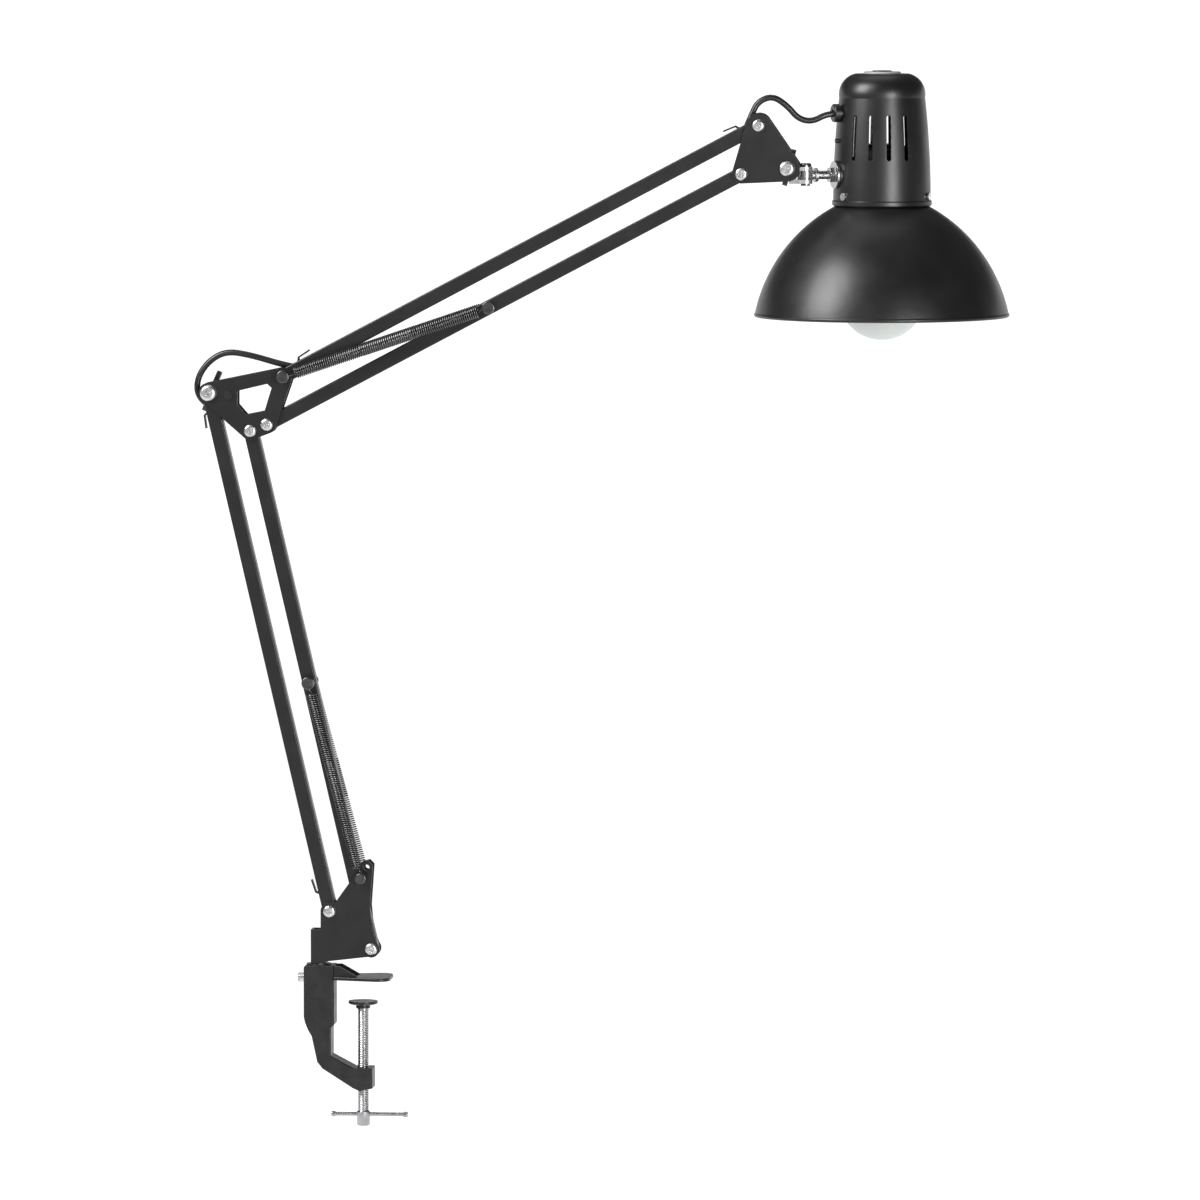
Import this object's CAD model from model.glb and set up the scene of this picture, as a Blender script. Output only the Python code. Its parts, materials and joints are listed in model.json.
import json
from math import ceil, cos, pi, radians, sin

import bmesh
import bpy
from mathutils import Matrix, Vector


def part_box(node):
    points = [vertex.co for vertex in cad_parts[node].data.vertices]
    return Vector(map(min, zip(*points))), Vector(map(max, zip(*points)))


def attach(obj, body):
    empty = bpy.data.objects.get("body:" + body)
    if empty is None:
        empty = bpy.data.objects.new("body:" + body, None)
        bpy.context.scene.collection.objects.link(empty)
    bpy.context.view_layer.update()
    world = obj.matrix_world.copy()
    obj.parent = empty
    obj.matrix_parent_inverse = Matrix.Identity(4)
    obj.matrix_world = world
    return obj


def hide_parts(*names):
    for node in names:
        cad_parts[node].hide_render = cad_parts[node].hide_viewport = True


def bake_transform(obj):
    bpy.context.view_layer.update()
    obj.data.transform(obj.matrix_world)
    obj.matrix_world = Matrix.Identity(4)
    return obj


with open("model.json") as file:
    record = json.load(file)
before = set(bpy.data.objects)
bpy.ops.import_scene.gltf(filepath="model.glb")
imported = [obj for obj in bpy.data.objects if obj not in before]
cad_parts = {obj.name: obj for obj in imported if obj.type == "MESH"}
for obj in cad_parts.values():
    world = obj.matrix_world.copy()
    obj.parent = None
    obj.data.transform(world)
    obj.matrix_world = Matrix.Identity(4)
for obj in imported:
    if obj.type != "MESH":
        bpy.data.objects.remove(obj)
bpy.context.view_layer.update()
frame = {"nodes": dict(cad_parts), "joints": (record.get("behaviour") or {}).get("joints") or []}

MM = 0.001
pivot = {j["name"]: Vector(j["pos_m"]) for j in frame["joints"] if j.get("pos_m")}


# ---------------------------------------------------------------- camera, stage and light
TARGET = Vector((0.1663, 0.0, 0.2668))
VIEW_TURN, VIEW_RISE, VIEW_DISTANCE = 5.0, 4.5, 7.0     # degrees, degrees, metres
LENS, SENSOR = 301.8, 36.0                              # millimetres
HEAD = Vector((0.36, 0.02, 0.55))                       # where most of the lights are aimed


def around(target, turn, rise, distance):
    """Point seen from the target at a turn to the right of the front and a rise above level."""
    a, e = radians(turn), radians(rise)
    return target + distance * Vector((sin(a) * cos(e), -cos(a) * cos(e), sin(e)))


def aim(thing, target):
    thing.rotation_euler = (target - thing.location).to_track_quat("-Z", "Y").to_euler()


def add_camera():
    camera = bpy.data.objects.new("camera", bpy.data.cameras.new("camera"))
    bpy.context.scene.collection.objects.link(camera)
    camera.data.lens = LENS
    camera.data.sensor_width = SENSOR
    camera.data.clip_end = 60.0
    camera.location = around(TARGET, VIEW_TURN, VIEW_RISE, VIEW_DISTANCE)
    aim(camera, TARGET)
    bpy.context.scene.camera = camera


def add_light(name, target, turn, rise, distance, size, power):
    data = bpy.data.lights.new(name, "AREA")
    data.shape = "RECTANGLE"
    data.size, data.size_y = size
    data.energy = power
    light = bpy.data.objects.new(name, data)
    bpy.context.scene.collection.objects.link(light)
    light.location = around(target, turn, rise, distance)
    aim(light, target)


def add_stage():
    """Wide pale floor that curves up far behind the cameras' places, and glows white behind the lamp."""
    floor_z, top_z, front_y, back_y, bend, half = -0.30, 2.2, -14.0, 9.5, 1.2, 14.0
    steps = 24
    profile = [(front_y, floor_z), (back_y - bend, floor_z)]
    for k in range(1, steps + 1):
        a = pi / 2 * k / steps
        profile.append((back_y - bend + bend * sin(a), floor_z + bend * (1 - cos(a))))
    profile.append((back_y, top_z))
    mesh = bpy.data.meshes.new("floor")
    bm = bmesh.new()
    rows = [[bm.verts.new((x, y, z)) for x in (-half, half)] for y, z in profile]
    for low, high in zip(rows, rows[1:]):
        bm.faces.new((low[0], low[1], high[1], high[0])).smooth = True
    bm.to_mesh(mesh)
    bm.free()
    floor = bpy.data.objects.new("floor", mesh)
    bpy.context.scene.collection.objects.link(floor)
    material, nodes, links, shader = new_material("stage")
    shader.inputs["Base Color"].default_value = (0.50, 0.50, 0.50, 1.0)
    shader.inputs["Roughness"].default_value = 0.9
    shader.inputs["Specular IOR Level"].default_value = 0.0
    shader.inputs["Emission Color"].default_value = (1.0, 1.0, 1.0, 1.0)
    place = nodes.new("ShaderNodeSeparateXYZ")
    links.new(nodes.new("ShaderNodeTexCoord").outputs["Object"], place.inputs["Vector"])
    glow = nodes.new("ShaderNodeMapRange")
    glow.interpolation_type = "SMOOTHSTEP"
    glow.inputs["From Min"].default_value = -0.8
    glow.inputs["From Max"].default_value = 1.05
    glow.inputs["To Min"].default_value = 0.32
    glow.inputs["To Max"].default_value = 0.95
    links.new(place.outputs["Y"], glow.inputs["Value"])
    links.new(glow.outputs["Result"], shader.inputs["Emission Strength"])
    mesh.materials.append(material)


def add_world():
    """A pale surround to look at. It throws little light, so that metal has something dark to mirror."""
    world = bpy.data.worlds.new("studio")
    world.use_nodes = True
    nodes, links = world.node_tree.nodes, world.node_tree.links
    background = nodes["Background"]
    background.inputs["Color"].default_value = (1.0, 1.0, 1.0, 1.0)
    seen = nodes.new("ShaderNodeMapRange")
    seen.inputs["To Min"].default_value = 0.10
    seen.inputs["To Max"].default_value = 0.95
    links.new(nodes.new("ShaderNodeLightPath").outputs["Is Camera Ray"], seen.inputs["Value"])
    links.new(seen.outputs["Result"], background.inputs["Strength"])
    bpy.context.scene.world = world
    bpy.context.scene.view_settings.view_transform = "Standard"


# ---------------------------------------------------------------- materials
def new_material(name):
    material = bpy.data.materials.new(name)
    material.use_nodes = True
    nodes, links = material.node_tree.nodes, material.node_tree.links
    return material, nodes, links, nodes["Principled BSDF"]


def noise(nodes, links, coordinates, scale, detail):
    """Noise over the object's own coordinates, in features per metre."""
    texture = nodes.new("ShaderNodeTexNoise")
    texture.inputs["Scale"].default_value = scale
    texture.inputs["Detail"].default_value = detail
    links.new(coordinates, texture.inputs["Vector"])
    return texture.outputs["Fac"]


def spread(nodes, links, value, low, high):
    """Maps the middle of a noise to a range."""
    ramp = nodes.new("ShaderNodeMapRange")
    ramp.inputs["From Min"].default_value = 0.3
    ramp.inputs["From Max"].default_value = 0.7
    ramp.inputs["To Min"].default_value = low
    ramp.inputs["To Max"].default_value = high
    links.new(value, ramp.inputs["Value"])
    return ramp.outputs["Result"]


def finish(name, colours, roughness, grain, depth, metallic=0.0, blotch=60.0, edge=0.0, **sockets):
    """Procedural finish: blotches of two colours, uneven roughness and a fine bump of a depth in metres."""
    material, nodes, links, shader = new_material(name)
    coordinates = nodes.new("ShaderNodeTexCoord").outputs["Object"]
    broad = noise(nodes, links, coordinates, blotch, 5.0)
    fine = noise(nodes, links, coordinates, grain, 3.0)
    mix = nodes.new("ShaderNodeMix")
    mix.data_type = "RGBA"
    mix.inputs["A"].default_value = (*colours[0], 1.0)
    mix.inputs["B"].default_value = (*colours[1], 1.0)
    links.new(spread(nodes, links, broad, 0.0, 1.0), mix.inputs["Factor"])
    links.new(mix.outputs["Result"], shader.inputs["Base Color"])
    uneven = nodes.new("ShaderNodeMath")
    uneven.operation = "ADD"
    links.new(spread(nodes, links, broad, roughness[0], roughness[1]), uneven.inputs[0])
    links.new(spread(nodes, links, fine, -0.03, 0.03), uneven.inputs[1])
    links.new(uneven.outputs["Value"], shader.inputs["Roughness"])
    bump = nodes.new("ShaderNodeBump")
    bump.inputs["Strength"].default_value = 1.0
    bump.inputs["Distance"].default_value = depth
    links.new(fine, bump.inputs["Height"])
    if edge:
        rounded = nodes.new("ShaderNodeBevel")
        rounded.samples = 4
        rounded.inputs["Radius"].default_value = edge
        links.new(rounded.outputs["Normal"], bump.inputs["Normal"])
    links.new(bump.outputs["Normal"], shader.inputs["Normal"])
    shader.inputs["Metallic"].default_value = metallic
    for socket, value in sockets.items():
        shader.inputs[socket.replace("_", " ")].default_value = value
    return material


def add_finishes():
    """The record's material slots, and the two finishes of hidden pieces: white enamel and the bulb's cap."""
    return {
        "black_paint": finish(
            "black_paint", ((0.0045, 0.0045, 0.0045), (0.007, 0.007, 0.007)), (0.34, 0.39), 1500.0, 0.00003,
            edge=0.0004,
        ),
        "black_iron": finish(
            "black_iron", ((0.004, 0.004, 0.004), (0.009, 0.009, 0.009)), (0.36, 0.46), 700.0, 0.00012,
            blotch=120.0, edge=0.0006,
        ),
        "zinc": finish(
            "zinc", ((0.62, 0.62, 0.63), (0.74, 0.74, 0.74)), (0.24, 0.38), 900.0, 0.00002,
            metallic=1.0, blotch=300.0, edge=0.0003,
        ),
        "chrome": finish(
            "chrome", ((0.38, 0.38, 0.39), (0.48, 0.48, 0.49)), (0.20, 0.30), 500.0, 0.00001,
            metallic=1.0, blotch=200.0, edge=0.0003,
        ),
        "black_plastic": finish(
            "black_plastic", ((0.006, 0.006, 0.006), (0.010, 0.010, 0.010)), (0.34, 0.42), 2200.0, 0.00003,
            edge=0.0003,
        ),
        "bakelite": finish(
            "bakelite", ((0.010, 0.009, 0.008), (0.020, 0.017, 0.015)), (0.22, 0.32), 800.0, 0.00002,
            blotch=250.0,
        ),
        "grey_plastic": finish(
            "grey_plastic", ((0.30, 0.30, 0.31), (0.36, 0.36, 0.37)), (0.40, 0.50), 2000.0, 0.00003,
        ),
        "black_steel": finish(
            "black_steel", ((0.09, 0.09, 0.092), (0.15, 0.15, 0.152)), (0.22, 0.32), 1200.0, 0.00002,
            metallic=1.0, blotch=400.0,
        ),
        "cable": finish(
            "cable", ((0.005, 0.005, 0.005), (0.008, 0.008, 0.008)), (0.32, 0.40), 1600.0, 0.00003,
        ),
        "frosted_glass": finish(
            "frosted_glass", ((0.50, 0.50, 0.50), (0.54, 0.54, 0.54)), (0.30, 0.38), 2500.0, 0.00001,
            blotch=40.0, Subsurface_Weight=0.35, Subsurface_Scale=0.004, Coat_Weight=0.3, Coat_Roughness=0.2,
        ),
        "white_enamel": finish(
            "white_enamel", ((0.76, 0.76, 0.74), (0.82, 0.82, 0.80)), (0.30, 0.40), 1500.0, 0.00003,
        ),
        "brass": finish(
            "brass", ((0.72, 0.72, 0.70), (0.80, 0.80, 0.78)), (0.2, 0.32), 900.0, 0.00002,
            metallic=1.0, blotch=300.0,
        ),
    }


def refinish_cad():
    for node in frame["nodes"].values():
        for place in node.material_slots:
            place.material = finishes[place.material.name.split(".")[0]]


# ---------------------------------------------------------------- mesh makers
def new_piece(name, bm, slot, body=None, stands_for=(), material=None):
    """Object from a finished mesh, with its finish. It rides on a body unless it is going to be blended."""
    bmesh.ops.recalc_face_normals(bm, faces=bm.faces)
    mesh = bpy.data.meshes.new(name)
    bm.to_mesh(mesh)
    bm.free()
    mesh.materials.append(finishes[material or slot])
    piece = bpy.data.objects.new(name, mesh)
    bpy.context.scene.collection.objects.link(piece)
    if stands_for:
        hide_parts(*stands_for)
    if body:
        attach(piece, body)
    return piece


def tube(bm, points, radius, sides):
    """Round tube along points, with flat ends. Its rings turn as little as they can."""
    ahead = [(b - a).normalized() for a, b in zip(points, points[1:])]
    ways = [ahead[0]] + [(a + b).normalized() for a, b in zip(ahead, ahead[1:])] + [ahead[-1]]
    across = ways[0].cross(Vector((0.0, 1.0, 0.0)))
    if across.length < 0.1:
        across = ways[0].cross(Vector((1.0, 0.0, 0.0)))
    rings = []
    turns = [2 * pi * k / sides for k in range(sides)]
    for point, way in zip(points, ways):
        across = (across - way * across.dot(way)).normalized()
        other = way.cross(across)
        rings.append([bm.verts.new(point + radius * (across * cos(a) + other * sin(a))) for a in turns])
    for low, high in zip(rings, rings[1:]):
        for k in range(sides):
            bm.faces.new((low[k - 1], low[k], high[k], high[k - 1])).smooth = True
    for ring in (rings[0], rings[-1]):
        for edge in bm.faces.new(ring).edges:
            edge.smooth = False


def lathe(bm, profile, axis_x=0.0, axis_y=0.0, sides=64, sharp=35.0):
    """Turned solid from (radius, height) pairs about a vertical axis. Corners above an angle stay sharp."""
    rings = []
    turns = [2 * pi * k / sides for k in range(sides)]
    for radius, z in profile:
        if radius < 1e-6:
            rings.append([bm.verts.new((axis_x, axis_y, z))])
        else:
            rings.append([
                bm.verts.new((axis_x + radius * cos(a), axis_y + radius * sin(a), z)) for a in turns
            ])
    for low, high in zip(rings, rings[1:]):
        for k in range(sides):
            under = [low[0]] if len(low) == 1 else [low[k - 1], low[k]]
            over = [high[0]] if len(high) == 1 else [high[k], high[k - 1]]
            bm.faces.new(under + over).smooth = True
    for ring, here, before, after in zip(rings[1:], profile[1:], profile, profile[2:]):
        first = Vector((here[0] - before[0], here[1] - before[1]))
        second = Vector((after[0] - here[0], after[1] - here[1]))
        if len(ring) > 1 and first.angle(second) > radians(sharp):
            for k in range(sides):
                bm.edges.get((ring[k - 1], ring[k])).smooth = False


def thread(bm, axis, bottom, top, root, crest, pitch, sides=32):
    """Screw thread on a vertical axis: one strip that winds up and is cut off flat at both ends."""
    section = ((0.0, root), (0.12, root), (0.44, crest), (0.56, crest), (0.88, root), (1.0, root))
    turns = ceil((top - bottom) / pitch) + 1
    rows = []
    for step in range(turns * sides + 1):
        a = 2 * pi * step / sides
        row = []
        for share, radius in section:
            z = min(max(bottom + (step / sides - 1 + share) * pitch, bottom), top)
            row.append(bm.verts.new((axis[0] + radius * cos(a), axis[1] + radius * sin(a), z)))
        rows.append(row)
    for low, high in zip(rows, rows[1:]):
        for k in range(len(section) - 1):
            corners = (low[k], high[k], high[k + 1], low[k + 1])
            if max((a.co - b.co).length for a in corners for b in corners) > 0:
                bm.faces.new(corners)
    bmesh.ops.remove_doubles(bm, verts=bm.verts, dist=1e-6)
    bmesh.ops.dissolve_degenerate(bm, edges=bm.edges, dist=1e-7)
    for face in bm.faces:
        face.smooth = True


# ---------------------------------------------------------------- springs
WIRE_R = 0.52 * MM
HOOK_R, HOOK_GAP = 3.3 * MM, 0.15 * MM      # the hook's middle line, and the gap to its pin
SPRING_Y = 11.0 * MM
PITCH = 1.5 * MM
COIL_STEPS = 12                             # points in one turn of a coil


def spring_half(name, at, towards, side, pin_r, body, node, coil_r, coil, phase, wire):
    """Loop pulled tight on a pin, a short straight, and a coil on the line to the other pin."""
    along = (towards - at).normalized()
    up = Vector((-along.z, 0.0, along.x))
    outward = Vector((0.0, 1.0, 0.0))
    centre = at - outward * side * SPRING_Y
    loop_at = HOOK_R - (pin_r + HOOK_GAP + WIRE_R)
    loop = centre + along * loop_at
    points = []
    for k in range(25):
        a = radians(40.0 + 285.0 * k / 24)
        points.append(loop + HOOK_R * (along * cos(a) + up * sin(a)))
    points.append(centre + along * (loop_at + HOOK_R + 0.8 * MM) - up * 0.8 * MM)
    turns = (coil[1] - coil[0]) / PITCH
    steps = ceil(turns * COIL_STEPS)
    for k in range(steps + 1):
        share = k / steps
        radius = coil_r * min(1.0, 0.2 + k / (0.6 * COIL_STEPS))
        a = phase + 2 * pi * turns * share
        points.append(
            centre + along * (coil[0] + (coil[1] - coil[0]) * share)
            + radius * (up * cos(a) + outward * sin(a))
        )
    bm = bmesh.new()
    tube(bm, points, wire, 8)
    return new_piece(name, bm, "black_steel", body, (node,))


def spring_pair(arm, eye, post, eye_r, coil_r, first, last, overlap):
    """Each spring is two halves whose coils lie in each other by the overlap, so that it can stretch."""
    length = (post - eye).length
    post_r = 2.5 * MM
    middle = (first + length - last) / 2
    for side, which in ((1, "near"), (-1, "far")):
        node = f"{arm}_spring_{which}"
        spring_half(
            f"{node}_eye_half", eye, post, side, eye_r, f"{arm}_springs", node, coil_r,
            (first, middle + overlap / 2), pi, WIRE_R,
        )
        spring_half(
            f"{node}_post_half", post, eye, side, post_r, f"{arm}_post", node, coil_r,
            (last, length - middle + overlap / 2), 0.0, WIRE_R * 0.96,
        )


# ---------------------------------------------------------------- leads
LEAD_R = 2.15 * MM
YAW = radians(23.0)                         # how far the head is turned at rest
GROMMET_Z = 605.5 * MM


def smooth_line(points):
    """Points along a NURBS spline that has the route's points as its control points."""
    curve = bpy.data.curves.new("route", "CURVE")
    curve.dimensions = "3D"
    curve.resolution_u = 10
    spline = curve.splines.new("NURBS")
    spline.points.add(len(points) - 1)
    for target, point in zip(spline.points, points):
        target.co = (*point, 1.0)
    spline.order_u = 3
    spline.use_endpoint_u = True
    route = bpy.data.objects.new("route", curve)
    bpy.context.scene.collection.objects.link(route)
    bpy.context.view_layer.update()
    mesh = bpy.data.meshes.new_from_object(route)
    line = [v.co.copy() for v in mesh.vertices]
    bpy.data.objects.remove(route)
    bpy.data.curves.remove(curve)
    bpy.data.meshes.remove(mesh)
    return line


def outlet(start, end, leaving):
    """The three points by which a lead leaves a cable tube, from a pivot and the tube's middle line."""
    along = (end - start).normalized() if leaving == "start" else (start - end).normalized()
    foot = start if leaving == "start" else end
    bar = (end - start).normalized()
    up = Vector((-bar.z, 0.0, bar.x))
    return [foot + along * s * MM + up * h * MM for s, h in ((19.0, 0.0), (12.0, 0.0), (1.0, 9.0))]


def lead_parts(node, line, cuts):
    """Splits a smooth lead at the cuts. Each part bends between the two bodies that it joins."""
    begin = 0
    for number, (until, bodies, start, end) in enumerate(cuts, 1):
        last = len(line) - 1
        if until is not None:
            last = min(range(len(line)), key=lambda k: (line[k] - until).length)
        bm = bmesh.new()
        tube(bm, line[begin:last + 1], LEAD_R, 20)
        part = new_piece(f"{node}_{number}", bm, "cable", None, (node,))
        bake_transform(part)
        begin = last


def add_leads():
    """The loops of lead over the elbow and over the head bracket."""
    lower_foot, elbow = pivot["lower_arm"], pivot["elbow_level"]
    upper_foot, head_top = pivot["upper_arm"], pivot["head_level"]
    swivel_x = pivot["base_swivel"].x
    loop = [
        Vector((swivel_x + x * MM, 0.0, z * MM))
        for x, z in ((-84.6, 420.0), (-76.5, 432.0), (-64.0, 439.0), (-46.5, 436.2))
    ]
    line = smooth_line([
        *outlet(lower_foot, elbow, "end"), *loop, *reversed(outlet(upper_foot, head_top, "start")),
    ])
    top = Vector((swivel_x - 64.0 * MM, 0.0, 437.0 * MM))
    lead_parts("elbow_lead", line, (
        (top, ("lower_arm", "elbow"), (0.0, 0.0, 0.410), (0.0, 0.0, 0.436)),
        (None, ("elbow", "upper_arm"), (top.x + 0.003, 0.0, 0.0), (upper_foot.x - 0.004, 0.0, 0.0)),
    ))

    axis = pivot["bulb_turn"]
    over = [
        Vector((swivel_x + x * MM, y * MM, z * MM)) for x, z, y in (
            (307.0, 613.5, 0.3), (317.0, 617.6, 1.0), (327.0, 611.0, 2.2),
            (334.8, 601.6, 3.6), (344.6, 599.6, 5.2),
        )
    ]
    into = [Vector((axis.x - d * MM * cos(YAW), axis.y - d * MM * sin(YAW), GROMMET_Z)) for d in (40.0, 28.0)]
    line = smooth_line([*outlet(upper_foot, head_top, "end"), *over, *into])
    crown, dip = over[1], over[3]
    lead_parts("head_lead", line, (
        (crown, ("upper_arm", "head_bracket"), (0.270, 0.0, 0.604), (0.283, 0.0, 0.616)),
        (dip, ("head_bracket", "knuckle"), (0.288, 0.0, 0.616), (0.302, 0.0, 0.604)),
        (None, ("knuckle", "head"), (0.305, 0.003, 0.600), (0.323, 0.006, 0.603)),
    ))


# ---------------------------------------------------------------- turned pieces
SCREW_ROOT, SCREW_CREST, SCREW_PITCH = 3.45 * MM, 3.98 * MM, 1.25 * MM
CAP_ROOT, CAP_CREST, CAP_PITCH = 11.7 * MM, 12.9 * MM, 3.62 * MM
BULB_R, GLASS = 30.0 * MM, 1.0 * MM         # the glass's outer radius and its thickness


def add_clamp_screw():
    """The clamp screw with its real M8 thread and the cross hole for the tommy bar."""
    low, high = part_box("clamp_screw")
    head_top, collar = low.z + 10.3 * MM, high.z - 3.4 * MM
    threaded = bmesh.new()
    thread(threaded, (0.0, 0.0), head_top, collar - 1.0 * MM, SCREW_ROOT, SCREW_CREST, SCREW_PITCH)
    bm = bmesh.new()
    lathe(bm, [(r * MM, z) for r, z in (
        (0.0, low.z), (3.6, low.z), (4.3, low.z + 0.3 * MM), (4.7, low.z + 1.0 * MM),
        (4.7, head_top - 0.5 * MM), (4.3, head_top), (3.5, head_top), (3.5, collar - 1.2 * MM),
        (3.9, collar - 1.0 * MM), (3.9, collar), (2.95, collar), (2.95, high.z), (0.0, high.z),
    )])
    shank = new_piece("clamp_screw_shank", bm, "chrome", None, ("clamp_screw",))
    tommy_low, tommy_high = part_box("tommy_bar")
    drill = bmesh.new()
    tommy_z = (tommy_low.z + tommy_high.z) / 2
    tube(drill, [Vector((x * MM, 0.0, tommy_z)) for x in (-8.0, 8.0)], 1.5 * MM, 32)
    hole_mesh = bpy.data.meshes.new("hole")
    bmesh.ops.recalc_face_normals(drill, faces=drill.faces)
    drill.to_mesh(hole_mesh)
    drill.free()
    hole = bpy.data.objects.new("hole", hole_mesh)
    bpy.context.scene.collection.objects.link(hole)
    cut = shank.modifiers.new("hole", "BOOLEAN")
    cut.operation, cut.object, cut.solver = "DIFFERENCE", hole, "EXACT"
    with bpy.context.temp_override(object=shank, active_object=shank):
        bpy.ops.object.modifier_apply(modifier="hole")
    bpy.data.objects.remove(hole)
    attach(shank, "clamp_screw")
    new_piece("clamp_screw_thread", threaded, "chrome", "clamp_screw")


def add_bulb():
    """Frosted glass with a soft shoulder, and a threaded metal cap with its contact."""
    low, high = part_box("bulb")
    axis = pivot["bulb_turn"]
    middle = low.z + BULB_R
    profile = [(0.0, low.z)]
    for k in range(1, 33):
        a = radians(-90.0 + 128.0 * k / 32)
        profile.append((BULB_R * cos(a), middle + BULB_R * sin(a)))
    shoulder = profile[-1]
    neck = (14.2 * MM, 527.0 * MM)
    pull = (17.0 * MM, shoulder[1] + 0.6 * (neck[1] - shoulder[1]) - 3.0 * MM)
    for k in range(1, 13):
        t = k / 12
        profile.append(tuple(
            (1 - t) ** 2 * shoulder[i] + 2 * t * (1 - t) * pull[i] + t * t * neck[i] for i in (0, 1)
        ))
    inner = [(max(r - GLASS, 0.0), z + (GLASS if k == 0 else 0.0)) for k, (r, z) in enumerate(profile)]
    bm = bmesh.new()
    lathe(bm, profile + list(reversed(inner)), axis.x, axis.y, 96, 60.0)
    bmesh.ops.remove_doubles(bm, verts=bm.verts, dist=1e-7)
    new_piece("bulb_glass", bm, "frosted_glass", "bulb", ("bulb",))
    bm = bmesh.new()
    bottom, top = 526.0 * MM, high.z - 6.0 * MM
    lathe(bm, [(r * MM, z) for r, z in (
        (0.0, bottom), (12.9, bottom), (12.9, bottom + 2.0 * MM), (11.6, bottom + 2.4 * MM), (11.6, top),
        (8.0, high.z - 1.5 * MM), (4.5, high.z - 1.0 * MM), (4.5, high.z), (0.0, high.z),
    )], axis.x, axis.y, 64)
    new_piece("bulb_cap", bm, "zinc", "bulb", (), "brass")
    bm = bmesh.new()
    thread(bm, (axis.x, axis.y), bottom + 2.4 * MM, top, CAP_ROOT, CAP_CREST, CAP_PITCH, 64)
    new_piece("bulb_cap_thread", bm, "zinc", "bulb", (), "brass")


def add_liner():
    """White enamel on the inside of the shade, just under the CAD shell."""
    axis = pivot["bulb_turn"]
    arc_r, centre_r, centre_z, skin = 109.2 * MM, -19.7 * MM, 443.8 * MM, 0.12 * MM
    neck_r, mouth_r, steps = 31.6, 86.4, 40
    outer, inner = [], []
    for k in range(steps + 1):
        r = (neck_r + (mouth_r - neck_r) * k / steps) * MM
        for ring, less in ((outer, skin), (inner, 2 * skin)):
            reach = arc_r - less
            ring.append((r, centre_z + (reach ** 2 - (r - centre_r) ** 2) ** 0.5))
    bm = bmesh.new()
    lathe(bm, outer + list(reversed(inner)) + [outer[0]], axis.x, axis.y, 128, 60.0)
    bmesh.ops.remove_doubles(bm, verts=bm.verts, dist=1e-7)
    new_piece("shade_liner", bm, "black_paint", "head", (), "white_enamel")


add_camera()
finishes = add_finishes()
add_leads()
refinish_cad()
spring_pair(
    "lower", pivot["lower_spring_turn"], pivot["lower_post_turn"],
    eye_r=2.0 * MM, coil_r=3.45 * MM, first=7.5 * MM, last=7.5 * MM, overlap=28.0 * MM,
)
spring_pair(
    "upper", pivot["upper_spring_turn"], pivot["upper_post_turn"],
    eye_r=2.5 * MM, coil_r=4.05 * MM, first=9.0 * MM, last=7.5 * MM, overlap=38.0 * MM,
)
add_clamp_screw()
add_bulb()
add_liner()

add_stage()
add_world()
add_light("key", HEAD, -56.0, 33.0, 2.2, (1.1, 1.4), 72.0)
add_light("side", HEAD, 28.0, -2.0, 2.4, (0.6, 1.2), 46.0)
add_light("front", HEAD, -5.0, -4.0, 7.6, (4.0, 4.0), 20.0)
add_light("top", Vector((0.1, 0.0, 0.3)), 180.0, 75.0, 2.6, (1.6, 1.6), 9.0)
